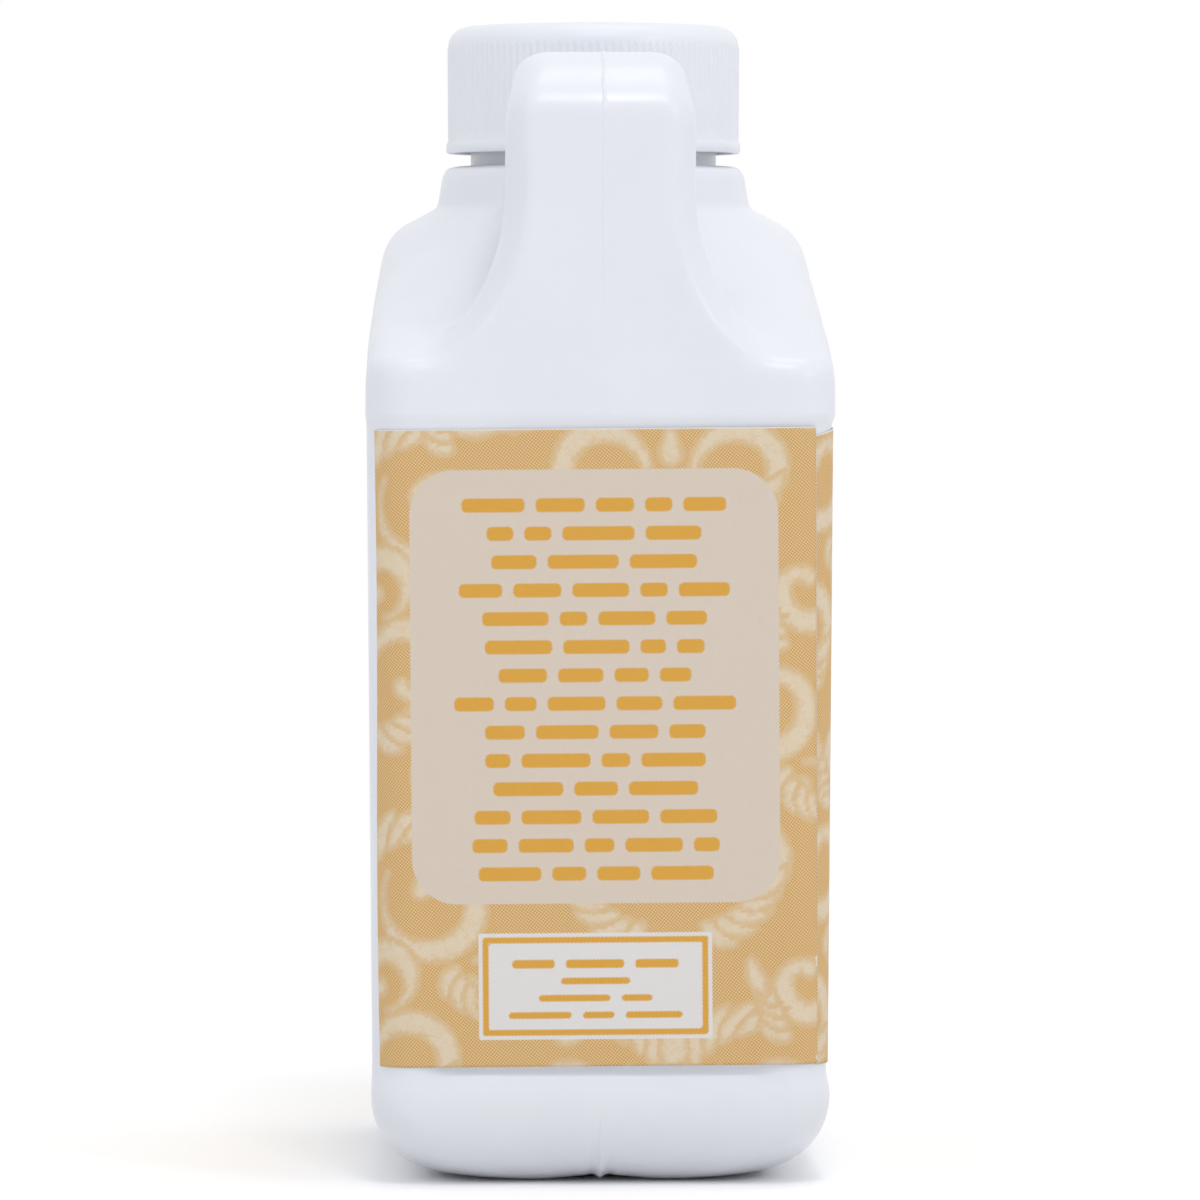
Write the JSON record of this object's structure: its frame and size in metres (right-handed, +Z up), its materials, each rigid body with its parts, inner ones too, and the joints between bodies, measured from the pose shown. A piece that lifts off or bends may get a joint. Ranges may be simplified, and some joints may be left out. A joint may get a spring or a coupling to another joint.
{
  "type": "laundry detergent bottle",
  "caption": "Blow moulded handled jug for liquid laundry detergent, with a ribbed screw cap, a foam liner and two paper labels in a recessed panel.",
  "frame": {"origin": "centre of the box of the whole object, on the table", "axes": "+Z up along the bottle, +X across its narrow way, -Y towards the handle side"},
  "size_m": [0.0624, 0.078, 0.156],
  "materials": {
    "bottle_polyethylene": "white blow moulded polyethylene, satin, with a faint parting line",
    "cap_polypropylene": "white injection moulded polypropylene, fine ribs, satin",
    "liner_foam": "closed cell foam",
    "back_label_paper": "matt printed paper, ochre ground with pale scrolls and a plain cream panel",
    "wrap_label_paper": "matt printed paper, ochre ground with pale scrolls"
  },
  "bodies": {
    "bottle": {"bottle": "bottle_polyethylene", "back_label": "back_label_paper", "wrap_label": "wrap_label_paper"},
    "liner": {"cap_liner": "liner_foam"},
    "cap": {"cap": "cap_polypropylene"}
  },
  "joints": [
    {"name": "cap_lift", "type": "slide", "parent": "bottle", "child": "liner", "axis": [0, 0, 1], "range_m": [0, 0.00635]},
    {"name": "cap_turn", "type": "hinge", "parent": "liner", "child": "cap", "pos_m": [0, 0.0125, 0.1535], "axis": [0, 0, 1], "range_deg": [0, 540]}
  ],
  "couplings": [
    {"joint": "cap_turn", "follows": "cap_lift", "rad_per_m": 1484.2}
  ]
}
